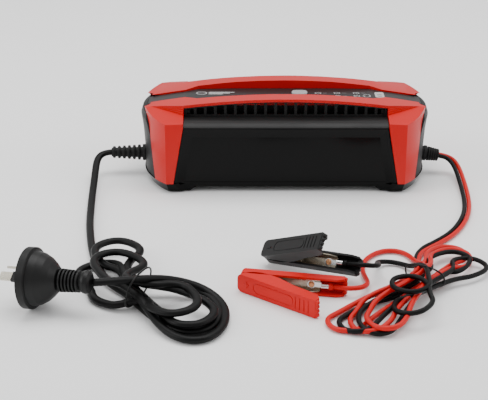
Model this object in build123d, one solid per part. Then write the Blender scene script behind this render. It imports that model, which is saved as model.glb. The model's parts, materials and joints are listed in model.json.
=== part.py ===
"""Car battery charger: case, mains lead with plug, and a pair of battery clamps.

Millimetres, +Z up, +X along the case towards the battery leads, front face at -Y.
The origin is on the surface below the middle of the case.
"""

import math
import os

from build123d import *

# ---- Driving dimensions of the case -------------------------------------------------
END_X = 44.5  # centre of each rounded end, from the middle
END_R = 75.5  # radius of the rounded ends in plan
CROWN_Z = 76.4  # top of the arched rails at the middle
CROWN_R = 640.0  # radius of the arch, seen from the front
SKIN = 2.6  # wall of the red shells
LINE_GAP = 0.3  # gap between a shell and the case under it
BASE_TOP = 8.5  # joint between the base tray and everything above
BELLY_Z = 4.5  # underside of the tray between its feet
SKID_Z = 0.8  # underside of the moulded feet
FRONT_TOP_Y = 50.3  # leg face at the shoulder, from the middle
FRONT_LOW_Y = 52.4  # leg face at the base
SHOULDER_Z = 61.1  # height of the shoulder crease at a leg
REAR_RISE = 5.5  # how much higher the rear shoulders stand
SHOULDER_RISE = 0.2375  # slope of the shoulder, inwards
SHOULDER_FALL = 0.042  # slope of the shoulder, towards the end
LEG_X = 84.2  # inner side of a leg at the top
LEG_LOW_X = 93.0  # inner side of a leg at the base
LEG_BEND_Z = 57.0  # where the inner side starts to slant
BRIDGE_Z = 56.0  # top of the opening between a leg and the middle of the case
RAIL_Y = 35.0  # outer edge of a rail
RAIL_INNER_Y = 19.6  # inner edge of a rail at the middle
NECK_Y = 10.4  # inner edge of a shell past the rails
RAIL_PLATE = 2.3
STEP_APEX = (111.0, 22.8)  # where the stepped recess runs out
STEP_COUNT = 4
STEP_WIDTH = 1.4
STEP_DROP = 1.75
BAND_Y = 33.2  # top edge of the rolled band, at the grille
BAND_TOP_Z = 61.8
BAND_LIP_Z = 56.4
FASCIA_Y = 50.6  # rim of the front panel
FASCIA_FACE_Y = 46.5  # sunken face of the front panel
WALL_Y = 44.2  # front wall of the case, behind the panel
DECK_Z = 69.0  # seat of the label between the rails
LABEL_STEP = 1.8  # depth of that seat below the arch, past the rails
VENT_COUNT = 19
VENT_PITCH = 8.3
RIB_WIDTH = 2.3

# ---- Driving dimensions of the leads ------------------------------------------------
MAINS_D = 5.4
LEAD_D = 3.6
MAINS_GLAND = (-119.2, 0.0, 18.0)
MAINS_TIP = (-148.5, 0.0, 18.0)
LEAD_GLAND = (120.2, 0.0, 17.5)
LEAD_TIP = (133.4, 0.0, 15.3)
PLUG_R = 21.0
PLUG_FACE = (-180.0, -258.5, 21.3)  # middle of the plug's face
PLUG_AXIS = (0.963, -0.265, 0.048)  # from the face to the cord
PLUG_LENGTH = 46.0

# ---- Driving dimensions of a clamp --------------------------------------------------
CLAMP_W = 13.2
CLAMP_WALL = 1.5
COVER_LENGTH = 73.0
LEVER_LENGTH = 67.0
FIXED_PIVOT = (24.0, 7.4)  # from the jaw end and the outer face of the cable side
LEVER_PIVOT = (21.0, 14.0)  # the same on the lever
HANDLE_ANGLE = 28.0  # between the two sides with the jaws shut
METAL = 0.8


def ring_location(origin, axis):
    """Place +Z along an axis."""
    return Plane(origin=origin, z_dir=axis).location


def below(origin, normal, size=500.0):
    """Everything below a sloping plane, as a large block."""
    return Plane(origin=origin, z_dir=normal) * Pos(0, 0, -size / 2) * Box(size, size, size)


def solids_only(shape):
    """The same shape without any loose faces a cut left behind."""
    solids = [solid for solid in shape.solids() if solid.volume > 1]
    return solids[0] if len(solids) == 1 else Compound(children=solids)


def slab(x0, x1, y0, y1, z0, z1):
    """A block from corner to corner."""
    middle = Pos((x0 + x1) / 2, (y0 + y1) / 2, (z0 + z1) / 2)
    return middle * Box(abs(x1 - x0), abs(y1 - y0), abs(z1 - z0))


def prism(points, z0, z1):
    """A plan outline, raised from one height to another."""
    return extrude(Pos(0, 0, z0) * make_face(Polyline(*points, close=True)), z1 - z0)


def along_x(points, x0, x1):
    """A (y, z) outline, drawn along X."""
    section = Plane(origin=(x0, 0, 0), x_dir=(0, 1, 0), z_dir=(1, 0, 0))
    return extrude(section * make_face(Polyline(*points, close=True)), x1 - x0)


def along_y(points, y0, y1):
    """An (x, z) outline, drawn along Y."""
    section = Plane(origin=(0, y0, 0), x_dir=(1, 0, 0), z_dir=(0, -1, 0))
    return extrude(section * make_face(Polyline(*points, close=True)), -(y1 - y0))


def arch(drop):
    """Everything below the arch of the rails, lowered by drop."""
    return Pos(0, 0, CROWN_Z - CROWN_R - drop) * Rot(90, 0, 0) * Cylinder(CROWN_R, 140)


def case_plan(end_r, half_depth):
    """The outline of the case: straight front and back, rounded ends."""
    corner = END_X + math.sqrt(end_r**2 - half_depth**2)
    tip = END_X + end_r
    return make_face(
        [
            Line((-corner, -half_depth), (corner, -half_depth)),
            ThreePointArc((corner, -half_depth), (tip, 0), (corner, half_depth)),
            Line((corner, half_depth), (-corner, half_depth)),
            ThreePointArc((-corner, half_depth), (-tip, 0), (-corner, -half_depth)),
        ]
    )


def case_prism(end_r, half_depth, z0, z1):
    return extrude(Pos(0, 0, z0) * case_plan(end_r, half_depth), z1 - z0)


def four_ways(shape):
    """The shape at the right front corner, and its three mirror images."""
    right = shape + mirror(shape, Plane.XZ)
    return right + mirror(right, Plane.YZ)


def shoulder(drop):
    """Everything below the sloping shoulder of the right front leg."""
    normal = (SHOULDER_FALL, -SHOULDER_RISE, 1)
    return below((LEG_X, -FRONT_TOP_Y, SHOULDER_Z - drop), normal)


def leg_face(inset):
    """Everything behind the leaning face of the front legs."""
    lean = (FRONT_LOW_Y - FRONT_TOP_Y) / (SHOULDER_Z - BASE_TOP)
    return below((0, -FRONT_LOW_Y + inset, BASE_TOP), (0, -1, -lean))


# ---- Case ---------------------------------------------------------------------------
def end_strip_outline(grow=0.0):
    """The black strip on an end of the case, seen from that end."""
    low, bend, neck = 39.3 + grow, 31.5 + grow, NECK_Y + grow
    bottom, bend_z, top_z = BASE_TOP, 52.0, 66.0 + grow
    return make_face(
        [
            Line((-low, bottom), (low, bottom)),
            Line((low, bottom), (bend, bend_z)),
            ThreePointArc((bend, bend_z), (bend - 6, bend_z + 9.5), (neck, top_z)),
            Line((neck, top_z), (-neck, top_z)),
            ThreePointArc((-neck, top_z), (6 - bend, bend_z + 9.5), (-bend, bend_z)),
            Line((-bend, bend_z), (-low, bottom)),
        ]
    )


def end_strip(x0, x1, grow=0.0):
    section = Plane(origin=(x0, 0, 0), x_dir=(0, 1, 0), z_dir=(1, 0, 0))
    return extrude(section * end_strip_outline(grow), x1 - x0)


def stepped_recess():
    """The steps that fill the recess between the rail and the shoulder."""
    apex_x, apex_y = STEP_APEX
    edge_y = RAIL_Y - 0.5
    rail_z = CROWN_Z - LEG_X**2 / (2 * CROWN_R)
    apex_z = CROWN_Z - apex_x**2 / (2 * CROWN_R)
    steps = []
    for step in range(1, STEP_COUNT):
        outer_y = edge_y + step * STEP_WIDTH
        height = rail_z - step * STEP_DROP
        tread = [(LEG_X, -edge_y + 1), (LEG_X, -outer_y), (apex_x, -apex_y), (apex_x, 1 - apex_y)]
        slope = (apex_z - height) / (apex_x - LEG_X)
        steps.append(prism(tread, 55, 80) & below((LEG_X, 0, height), (-slope, 0, 1)))
    return steps


def leg_solid(rise=0.0):
    """The right front leg with its shoulder, solid."""
    apex_x, apex_y = STEP_APEX
    edge_y = RAIL_Y - 0.5
    fall = (edge_y - apex_y) / (apex_x - LEG_X)
    far_x = END_X + END_R + 2
    rail_zone = [
        (LEG_X, -5),
        (LEG_X, -edge_y),
        (apex_x, -apex_y),
        (far_x, -apex_y + fall * (far_x - apex_x)),
        (far_x, -5),
    ]
    top = shoulder(-rise) + prism(rail_zone, 0, 90)
    for step in stepped_recess():
        top += step
    leg = case_prism(END_R, FRONT_LOW_Y, BASE_TOP, 80) & leg_face(0)
    leg = leg & slab(LEG_X, 130, -60, -NECK_Y, 0, 90)
    leg = leg & arch(0) & top
    slant = [(LEG_X - 5, 0), (LEG_LOW_X, BASE_TOP), (LEG_X, LEG_BEND_Z), (LEG_X - 5, LEG_BEND_Z)]
    return leg - along_y(slant, -60, -WALL_Y)


def leg_hollow(inset, rise=0.0):
    """The space inside the right front leg."""
    space = case_prism(END_R - inset, FRONT_LOW_Y, 0, 80) & leg_face(inset)
    space = space & slab(LEG_X + inset, 130, -60, 0, 0, 90)
    space = space & arch(inset) & shoulder(inset * 1.1 - rise)
    slant = inset + 0.2
    cut = [
        (LEG_X, -1),
        (LEG_LOW_X + slant + 1.6, -1),
        (LEG_X + slant, LEG_BEND_Z),
        (LEG_X, LEG_BEND_Z),
    ]
    return space - along_y(cut, -60, -WALL_Y + 2)


def rail_plan(wall=0.0):
    """The front rail in plan, or the space behind its inner wall."""
    inner = [(41, -RAIL_INNER_Y - 0.2 - wall), (73.5, -18.1 - wall), (LEG_X, -NECK_Y - wall)]
    outer = [(LEG_X, -RAIL_Y + 0.5), (62, -RAIL_Y)]
    right = inner + outer
    return right + [(-x, y) for x, y in reversed(right)]


def rail():
    """The front rail: an arched plate with a wall down to the label."""
    plate = prism(rail_plan(), 60, 80) & arch(0)
    body = plate - (prism(rail_plan(2.2), 50, 80) & arch(RAIL_PLATE))
    return body - slab(-130, 130, -60, 0, 50, DECK_Z - 1.6)


def red_shell(rise=0.0):
    """One red shell, on the front side: two hollow legs joined by the rail."""
    leg = leg_solid(rise) - leg_hollow(SKIN, rise) - end_strip(104, 130, LINE_GAP)
    leg = leg - slab(80, LEG_X + 4, -WALL_Y, 0, 0, BRIDGE_Z + LINE_GAP)
    leg = leg - slab(80, LEG_X + 4, -RAIL_INNER_Y, 0, 0, 66.4)
    return solids_only(leg + mirror(leg, Plane.YZ) + rail())


def band_arc(grow):
    """Rolled band over the front panel, from its lip to the grille, as points."""
    return [
        (-FASCIA_Y + 0.1 - grow, BAND_LIP_Z - grow),
        (-FASCIA_Y + 0.1 - grow, BAND_LIP_Z + 0.9),
        (-49.3 - grow * 0.7, 58.2 + grow * 0.7),
        (-46.5, 59.5 + grow),
        (-42.5, 60.6 + grow),
        (-38.0, 61.3 + grow),
        (-BAND_Y, BAND_TOP_Z + grow),
    ]


def middle_profile(grow=0.0):
    """The case between the legs, cut across, from the front wall to the middle."""
    front = [(0, BASE_TOP), (-WALL_Y - grow, BASE_TOP), (-WALL_Y - grow, BAND_LIP_Z - grow)]
    front += band_arc(grow)
    front += [(-31.0 - grow, BAND_TOP_Z + grow), (-31.0 - grow, 66.5 + grow)]
    front += [(-RAIL_INNER_Y + 0.3, 66.5 + grow), (-RAIL_INNER_Y + 0.3, DECK_Z), (0, DECK_Z)]
    return front


def middle_block():
    """The case between the legs, solid."""
    half = along_x(middle_profile(), -LEG_X + 0.2, LEG_X - 0.2)
    block = half + mirror(half, Plane.XZ)
    return block - (slab(-130, 130, -22, 22, 66.4, 90) - prism(label_plan(-0.1), 60, 90))


def cap_room():
    """The space left for the end caps."""
    r = END_R - SKIN - LINE_GAP - 0.7
    outline = [(r - 3.4, 90), (r - 3.4, 62.7), (r, 59.7), (r, 0), (r + 30, 0), (r + 30, 90)]
    plane = Plane(origin=(END_X, 0, 0), x_dir=(1, 0, 0), z_dir=(0, -1, 0))
    return revolve(plane * make_face(Polyline(*outline, close=True)), Axis((END_X, 0, 0), (0, 0, 1)))


def upper_case():
    inset = SKIN + LINE_GAP
    ends = leg_hollow(inset) - slab(0, LEG_X + inset, -60, 0, 0, 90)
    ends = ends - slab(0, 130, -60, 0, 0, BASE_TOP) - cap_room()
    bridge = slab(LEG_X - 3, LEG_X + inset + 1, -WALL_Y + 0.3, 0.5, BASE_TOP, BRIDGE_Z)
    seat = slab(LEG_X + 0.5, 113, -NECK_Y + 0.4, 0.5, 55, 80) & arch(LABEL_STEP)
    seat = (seat + slab(LEG_X - 5, LEG_X + 0.55, -NECK_Y + 0.4, 0.5, 55, DECK_Z)) - cap_room()
    shape = middle_block() + four_ways(ends) + four_ways(bridge) + four_ways(seat)

    hollow = leg_hollow(inset + 2.2) - slab(0, LEG_X - 1, -60, 0, 0, 90)
    hollow = hollow & slab(0, 115, -60, 0.5, 0, 90)
    well = slab(-1, LEG_X + 6, -WALL_Y + 2.2, 0.5, 0, 55.5)
    well += slab(-1, LEG_X + 6, -29, 0.5, 50, 59.5)
    well += slab(-1, 79, -RAIL_INNER_Y + 2.4, 0.5, 50, DECK_Z - 2.2)
    end_well = slab(LEG_X, 113, -WALL_Y + 4, 0.5, 0, 50)
    end_well = end_well & case_prism(END_R - inset - 2.8, 60, 0, 90)
    shape = shape - four_ways(well) - four_ways(hollow) - four_ways(end_well)

    slot = slab(-1, 79, -31.2, -RAIL_INNER_Y + 0.2, 50, 90)
    slot = slot - slab(-1, 90, -31.3, -29.3, 40, BAND_TOP_Z - 0.1)
    shape = shape - four_ways(slot)
    shape = shape - button_post(0.5) - four_ways(end_window())
    return solids_only(shape)


def end_window():
    """Opening in the end wall of the case, behind the end cap, for the cable."""
    return slab(108, 130, -9, 0.5, BASE_TOP + 2, 30)


def end_cap(side):
    """The end panel between the red shells; it leans out towards the top."""
    outer = [(74.5, BASE_TOP), (74.4, 24), (75.7, 45), (77.2, 57), (75.6, 61.9), (72.0, 63.9)]
    inner = [(69.3, 63.0), (72.4, 60.4), (74.0, 56), (73.0, 45), (72.3, 24), (72.3, BASE_TOP)]
    profile = make_face(Polyline(*[(r, z) for r, z in outer + inner], close=True))
    section = Plane(origin=(END_X, 0, 0), x_dir=(1, 0, 0), z_dir=(0, -1, 0)) * profile
    axis = Axis((END_X, 0, 0), (0, 0, 1))
    ring = revolve(section, axis, 360)
    cap = ring & end_strip(100, 130)
    cap = cap - Pos(118, 0, 18) * Rot(0, 90, 0) * Cylinder(6.3, 20)
    return cap if side > 0 else mirror(cap, Plane.YZ)


def tray_solid(inset, z0, z1):
    """The base tray's outline, narrowing towards the bottom."""
    low = Pos(0, 0, SKID_Z) * case_plan(END_R - 4.0 - inset, 48.4 - inset)
    high = Pos(0, 0, BASE_TOP) * case_plan(END_R - 0.2 - inset, FRONT_LOW_Y - 0.1 - inset)
    return loft([low, high], ruled=True) & slab(-130, 130, -60, 60, z0, z1)


def lower_case():
    tray = tray_solid(0, SKID_Z, BASE_TOP)
    tray = tray - tray_solid(2.4, BELLY_Z + 2.2, BASE_TOP + 1)
    front = [
        (-LEG_LOW_X - 0.2, -60),
        (-LEG_LOW_X - 0.2, -52.5),
        (6.4 - LEG_X - 5.5, -FASCIA_FACE_Y),
        (LEG_X - 0.9, -FASCIA_FACE_Y),
        (LEG_LOW_X + 0.2, -52.5),
        (LEG_LOW_X + 0.2, -60),
    ]
    tray = tray - prism(front, -1, 20) - mirror(prism(front, -1, 20), Plane.XZ)
    belly = [(-79.5, SKID_Z - 2), (-79.5, SKID_Z), (-74.4, BELLY_Z), (74.4, BELLY_Z)]
    belly += [(79.5, SKID_Z), (79.5, SKID_Z - 2)]
    tray = tray - along_y(belly, -60, 60)
    floor = slab(-88, 88, -FASCIA_FACE_Y + 0.1, FASCIA_FACE_Y - 0.1, BELLY_Z, BELLY_Z + 2.2)
    lip = floor + slab(-88, 88, -FASCIA_FACE_Y, -WALL_Y + 0.2, BELLY_Z, BASE_TOP - 0.1)
    tray = tray + lip + mirror(lip, Plane.XZ)
    for x in (-60, 0, 60):
        for y in (-36, 36):
            tray = tray + Pos(x, y, BELLY_Z + 2) * Cylinder(3.6, 4)
            tray = tray - Pos(x, y, BELLY_Z + 1) * Cylinder(1.6, 12)
            tray = tray - Pos(x, y, BELLY_Z) * Cylinder(3.0, 3.2)
    for foot in foot_places():
        tray = tray - Pos(foot[0], foot[1], 0) * Cylinder(5.2, 4.6)
    return tray


def foot_places():
    return [(x, y) for x in (-96, 96) for y in (-36, 36)]


def rubber_feet():
    feet = []
    for x, y in foot_places():
        foot = Pos(x, y, 1.15) * Cylinder(5.1, 2.3)
        foot = fillet(foot.edges().group_by(Axis.Z)[0], 0.5)
        feet.append(foot)
    return Compound(children=feet)


def case_screws():
    screws = []
    for x in (-60, 0, 60):
        for y in (-36, 36):
            head = Pos(x, y, BELLY_Z + 0.6) * Cylinder(2.8, 1.2)
            head = head - Pos(x, y, BELLY_Z) * (Box(3.6, 0.8, 1.4) + Box(0.8, 3.6, 1.4))
            screws.append(head + Pos(x, y, BELLY_Z + 5) * Cylinder(1.5, 8.6))
    return Compound(children=screws)


def fascia():
    """Front panel: a bevelled frame round a sunken glossy face."""
    top, low = BAND_LIP_Z - 0.2, BASE_TOP + 0.1
    gap = 0.35
    slant = (LEG_LOW_X - LEG_X) / (LEG_BEND_Z - BASE_TOP)
    top_x = LEG_X - gap
    low_x = LEG_X + (LEG_BEND_Z - low) * slant - gap
    outline = [(-low_x, low), (low_x, low), (top_x, top), (-top_x, top)]
    block = along_y(outline, -FASCIA_Y, -WALL_Y - 0.1)
    rim = 0.35
    outer = [(rim - low_x, low - 6), (low_x - rim, low - 6)]
    outer += [(top_x - rim, top - rim), (rim - top_x, top - rim)]
    inner = [(-84.4, low - 4), (84.4, low - 4), (77.4, 47.4), (-77.4, 47.4)]
    faces = []
    for outline, y in ((outer, -FASCIA_Y - 0.01), (inner, -FASCIA_FACE_Y)):
        plane = Plane(origin=(0, y, 0), x_dir=(1, 0, 0), z_dir=(0, -1, 0))
        faces.append(plane * make_face(Polyline(*outline, close=True)))
    return block - loft(faces, ruled=True)


def vent_grille():
    """Strip of ribs under the front rail; the air passes between them."""
    top_room = 0.25
    strip = slab(-83.6, 83.6, -BAND_Y, -BAND_Y + 2.0, BAND_TOP_Z + 0.05, 80)
    strip = strip & arch(RAIL_PLATE + top_room)
    slots = []
    gap = VENT_PITCH - RIB_WIDTH
    for i in range(VENT_COUNT + 1):
        x = (i - VENT_COUNT / 2) * VENT_PITCH
        crown = CROWN_Z - (abs(x) + gap / 2) ** 2 / (2 * CROWN_R) - RAIL_PLATE - top_room
        low = BAND_TOP_Z + 1.2
        high = crown - 0.9
        if abs(x) + gap / 2 < 83.0:
            slots.append(slab(x - gap / 2, x + gap / 2, -BAND_Y - 1, -BAND_Y + 3, low, high))
    for slot in slots:
        strip = strip - slot
    return strip


def label_plan(inset):
    edge = RAIL_INNER_Y - 0.4 - inset
    neck = NECK_Y - 0.5 - inset
    half = [(0, -edge), (41, -edge - 0.1), (73.3, -17.5 + inset), (84.3, -neck), (115.4, -neck)]
    right = half + [(x, -y) for x, y in reversed(half)]
    return right + [(-x, -y) for x, y in half[1:]] + [(-x, y) for x, y in reversed(half[1:])]


def control_overlay():
    """Label sheet: flat between the rails, bent down along the arch at both ends."""
    sheet = prism(label_plan(0), 50, 80)
    flat = LEG_X + 0.6
    top = slab(-flat, flat, -30, 30, 0, DECK_Z + 0.5) + (arch(LABEL_STEP - 0.5) & wings(flat))
    under = slab(-flat, flat, -30, 30, 0, DECK_Z + 0.03)
    under += arch(LABEL_STEP - 0.03) & wings(flat)
    return (sheet & top) - under - button_post(0.4)


def wings(flat):
    return slab(flat, 130, -30, 30, 0, 90) + slab(-130, -flat, -30, 30, 0, 90)


BUTTON_AT = (12.9, 4.2)
BUTTON_SIZE = (13.4, 11.0)


def button_post(room):
    """The space of the push button, straight down through the deck."""
    width, depth = BUTTON_SIZE
    plan = RectangleRounded(width + 2 * room, depth + 2 * room, 4.0 + room)
    return extrude(Pos(BUTTON_AT[0], BUTTON_AT[1], 60) * plan, 20)


def select_button():
    width, depth = BUTTON_SIZE
    cap = extrude(Pos(BUTTON_AT[0], BUTTON_AT[1], 66.4) * RectangleRounded(width, depth, 4.0), 4.7)
    cap = fillet(cap.edges().group_by(Axis.Z)[-1], 0.8)
    stem = Pos(BUTTON_AT[0], BUTTON_AT[1], 64.6) * Cylinder(2.0, 3.8)
    return cap + stem


# ---- Electronics --------------------------------------------------------------------
BOARD_Z = 14.0
PANEL_BOARD_Z = 56.5
LED_AT = [(28.7, 5.0), (44.9, 5.0), (61.1, 5.0), (44.9, -3.5), (61.1, -3.5)]


def main_board():
    board = slab(-78, 78, -38, 38, BOARD_Z, BOARD_Z + 1.6)
    for x, y in board_screw_places():
        board = board - Pos(x, y, BOARD_Z) * Cylinder(1.7, 8)
    return board


def board_screw_places():
    return [(x, y) for x in (-72, 72) for y in (-32, 32)]


def board_posts():
    """Posts moulded on the tray, under the corners of the main board."""
    height = BOARD_Z - BELLY_Z - 1.1
    post = Pos(0, 0, BELLY_Z + 1.0 + height / 2) * Cylinder(3.0, height)
    posts = [Pos(x, y, 0) * post for x, y in board_screw_places()]
    return posts[0] + posts[1:]


def board_screws():
    screws = []
    for x, y in board_screw_places():
        head = Pos(x, y, BOARD_Z + 2.5) * Cylinder(2.7, 1.7)
        screws.append(head - Pos(x, y, BOARD_Z + 3.2) * Box(3.4, 0.7, 1.2))
    return Compound(children=screws)


def transformer_core():
    core = slab(-18, 18, -15, 15, BOARD_Z + 3.4, BOARD_Z + 31)
    core = core - slab(-12, 12, -16, 16, BOARD_Z + 8, BOARD_Z + 26.4)
    return core + slab(-5, 5, -15, 15, BOARD_Z + 3.4, BOARD_Z + 31)


def transformer_winding():
    coil = slab(-11.7, 11.7, -19, 19, BOARD_Z + 8.3, BOARD_Z + 26.1)
    coil = fillet(coil.edges().filter_by(Axis.Z), 4.0)
    coil = coil - slab(-5.3, 5.3, -15.3, 15.3, 0, 60)
    return coil


def transformer_bobbin():
    foot = slab(-16, 16, -19.5, 19.5, BOARD_Z + 1.7, BOARD_Z + 3.3)
    return foot


def cylinder_can(x, y, radius, height):
    can = Pos(x, y, BOARD_Z + 1.7 + height / 2) * Cylinder(radius, height)
    groove = Pos(x, y, BOARD_Z + 4.5) * (Cylinder(radius + 1, 0.8) - Cylinder(radius - 0.4, 0.8))
    can = can - groove
    return fillet(can.edges().group_by(Axis.Z)[-1], 0.8)


def output_capacitors():
    places = ((44, -20), (44, -6), (44, 8))
    return Compound(children=[cylinder_can(x, y, 5.2, 22) for x, y in places])


def heat_sink(x, side):
    """Finned aluminium block standing on the board."""
    plate = slab(x - 1.2, x + 1.2, -32, 32, BOARD_Z + 1.7, BOARD_Z + 32)
    for i in range(9):
        y = -28 + i * 7
        reach = side * 8
        plate = plate + slab(x, x + reach, y - 0.6, y + 0.6, BOARD_Z + 1.7, BOARD_Z + 32)
    return plate


def power_transistors():
    pieces = []
    for x, side in ((-52, 1), (60, -1)):
        for y in (-16, 16):
            body = slab(x + side * 1.3, x + side * 5.6, y - 5, y + 5, BOARD_Z + 12, BOARD_Z + 27)
            for lead in (-2.5, 0, 2.5):
                near, far = x + side * 3, x + side * 3.8
                body = body + slab(near, far, y + lead - 0.4, y + lead + 0.4, BOARD_Z + 1.7, BOARD_Z + 12.1)
            pieces.append(body)
    return Compound(children=pieces)


def output_choke():
    """Toroid inductor lying flat on the board."""
    ring = Pos(28, 22, BOARD_Z + 6.2) * Torus(7.5, 3.6)
    return ring


def mains_fuse():
    tube = Pos(-66, -6, BOARD_Z + 5) * Rot(90, 0, 0) * Cylinder(2.4, 14)
    caps = tube
    for y in (-13.5, 1.5):
        caps = caps + Pos(-66, y, BOARD_Z + 5) * Rot(90, 0, 0) * Cylinder(2.7, 4)
        caps = caps + slab(-67, -65, y - 1, y + 1, BOARD_Z + 1.7, BOARD_Z + 5)
    return caps


def display_board():
    board = slab(-2, 72, -14, 14, PANEL_BOARD_Z, PANEL_BOARD_Z + 1.6)
    return board


def button_switch():
    x, y = BUTTON_AT
    base = slab(x - 3, x + 3, y - 3, y + 3, PANEL_BOARD_Z + 1.7, PANEL_BOARD_Z + 4.6)
    return base + Pos(x, y, PANEL_BOARD_Z + 4.8) * Cylinder(1.6, 0.8)


def leds():
    lamps = []
    for x, y in LED_AT:
        lamp = Pos(x, y, PANEL_BOARD_Z + 3.2) * Cylinder(1.5, 3.0)
        lamps.append(fillet(lamp.edges().group_by(Axis.Z)[-1], 1.0))
    return Compound(children=lamps)


def light_pipes():
    """Clear rods that carry the lamps' light to the label."""
    top = DECK_Z - 0.05
    low = PANEL_BOARD_Z + 5.0
    return Compound(children=[Pos(x, y, (top + low) / 2) * Cylinder(1.3, top - low) for x, y in LED_AT])


def pipe_holes():
    return Compound(children=[Pos(x, y, 64) * Cylinder(1.4, 16) for x, y in LED_AT])


# ---- Strain reliefs and cords -------------------------------------------------------
def gland(base, tip, base_r, tip_r, bore, ribs, rib_width):
    """Flexible strain relief: a tapered core with separate discs on it."""
    axis = Vector(*tip) - Vector(*base)
    length = axis.length
    core_r = bore / 2 + 1.1
    parts = Pos(0, 0, length / 2) * Cone(core_r + 0.9, core_r, length)
    parts = parts + Pos(0, 0, -3.5) * Cylinder(5.7, 7.0) + Pos(0, 0, 1.2) * Cylinder(base_r, 2.4)
    pitch = (length - 3.4) / ribs
    for i in range(ribs):
        z = 3.4 + pitch * (i + 0.5)
        radius = base_r + (tip_r - base_r) * z / length
        disc = Pos(0, 0, z) * Cylinder(radius, rib_width)
        parts = parts + fillet(disc.edges(), rib_width * 0.3)
    return ring_location(base, tuple(axis)) * parts


def fillet_radii(points):
    """One radius per corner: 0.45 of the shorter run over the tangent of half the turn."""
    radii = []
    for before, corner, after in zip(points, points[1:], points[2:]):
        run_in = Vector(*corner) - Vector(*before)
        run_out = Vector(*after) - Vector(*corner)
        half_turn = math.radians(run_in.get_angle(run_out)) / 2
        radii.append(0.45 * min(run_in.length, run_out.length) / math.tan(half_turn))
    return radii


def cord_tube(name, points, diameter):
    """A round tube along straight runs and tangent arcs."""
    radii = fillet_radii(points)
    path = FilletPolyline(*points, radius=radii)
    start = Plane(origin=points[0], z_dir=tuple(Vector(*points[1]) - Vector(*points[0])))
    tube = sweep(start * Circle(diameter / 2), path=path)
    expected = math.pi * diameter**2 / 4 * path.length
    print(name, "length", round(path.length, 1), "volume ratio", round(tube.volume / expected, 4))
    print("  radii in diameters", [round(r / diameter, 1) for r in radii])
    return tube


MAINS_OUT = [
    (-148.6, 0, 18),
    (-154.8, -0.8, 17.6),
    (-159.2, -6.2, 16),
    (-160.4, -14.6, 13.6),
    (-160.2, -27, 10.6),
    (-159.6, -44, 7.2),
    (-158.8, -66, 4.4),
    (-157, -94, 2.8),
    (-154.4, -124, 2.8),
    (-150.4, -153, 2.8),
    (-146, -178, 3),
    (-141.6, -195, 3.4),
]
DC_RED_OUT = [
    (133.5, 1.95, 15.3),
    (139.4, 1.95, 14.3),
    (144.6, -1.6, 13.2),
    (147.9, -8.4, 11.6),
    (149.6, -18, 9.4),
    (150.4, -31, 6.6),
    (150.5, -49.5, 3.8),
    (149.3, -72, 2.2),
    (145.6, -96, 1.95),
    (138, -119.5, 1.95),
    (127, -141, 1.95),
    (113.5, -157.5, 1.95),
    (102.8, -168.3, 2),
    (96.6, -180.8, 2.2),
]
DC_BLACK_OUT = [
    (133.5, -1.95, 15.3),
    (138.2, -1.95, 14.3),
    (141.5, -4.2, 13.2),
    (144.2, -9.6, 11.6),
    (145.7, -18.5, 9.4),
    (146.5, -31.1, 6.6),
    (146.6, -49.4, 3.8),
    (145.4, -71.6, 2.2),
    (141.8, -95.1, 1.95),
    (134.4, -118, 1.95),
    (123.7, -138.9, 1.95),
    (110.6, -154.9, 1.95),
    (99.6, -166, 2),
    (93.1, -179.1, 2.2),
]
# Single cores, from the hank to the terminals in the clamps.
RED_TO_CLAMP = [
    (89.4, -192.5, 3.2),
    (87.6, -181.6, 2.2),
    (81.3, -172.6, 1.95),
    (71, -171, 1.95),
    (61.3, -177.3, 1.95),
    (54.4, -187.6, 1.95),
    (51, -199, 1.95),
    (50.6, -211, 2.1),
    (51.8, -221.5, 2.9),
    (52.2, -230.2, 4),
    (50.6, -237.3, 5.2),
    (46.4, -242.9, 6.2),
    (40, -245.2, 6.6),
    (33.2, -244.4, 6.7),
    (27.2, -242.3, 6.7),
]
BLACK_TO_CLAMP = [
    (85, -201.6, 3.2),
    (81, -196.4, 2.3),
    (75.2, -192.6, 2.1),
    (68.6, -192.4, 2.7),
    (63.4, -195.8, 4),
    (61.2, -201.6, 6),
    (61.3, -208.6, 8.4),
    (61.3, -215.6, 10.8),
    (59.2, -221.8, 13),
    (54.6, -225.6, 14.9),
    (48.8, -226, 15.6),
    (43, -223.4, 14.6),
    (38.6, -219.9, 13.4),
]


def hank(outline, height, edge):
    """The outer shape of a bundle of loops lying on the surface."""
    body = prism(outline, 0, height)
    return chamfer(body.edges().group_by(Axis.Z)[-1], edge)


MAINS_HANK = [
    (-150, -240),
    (-158, -219),
    (-155, -199),
    (-143, -192),
    (-141, -167),
    (-134, -163),
    (-126, -171),
    (-116, -200),
    (-108, -226),
    (-100, -238),
    (-84, -236),
    (-62, -240),
    (-47, -252),
    (-42, -276),
    (-45, -300),
    (-61, -317),
    (-81, -313),
    (-96, -296),
    (-103, -276),
    (-112, -266),
    (-126, -257),
    (-141, -252),
]
DC_HANK = [
    (19, -299),
    (24, -282),
    (37, -259),
    (52, -246),
    (68, -243),
    (72, -228),
    (84, -212),
    (90, -196),
    (93, -178),
    (106, -164),
    (126, -166),
    (131, -178),
    (128, -200),
    (114, -224),
    (102, -240),
    (92, -262),
    (80, -286),
    (66, -307),
    (44, -309),
    (28, -303),
]


def tie_ring(middle, angle, width, height, room=0.0):
    """A wire tie round a bundle: a flat ring standing across it."""
    wire = 1.6
    outer = Pos(0, 0, height / 2) * Box(wire + room, width + 2 * wire, height)
    inner = Pos(0, 0, height / 2) * Box(8, width - room, height - 2 * wire - room)
    return Pos(middle[0], middle[1], 0) * Rot(0, 0, angle) * (outer - inner)


def mains_tie(room=0.0):
    return tie_ring((-106, -256.5), -24, 34, 26.6, room)


def battery_lead_tie(room=0.0):
    return tie_ring((92, -229), 56, 30, 17.6, room)


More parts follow.
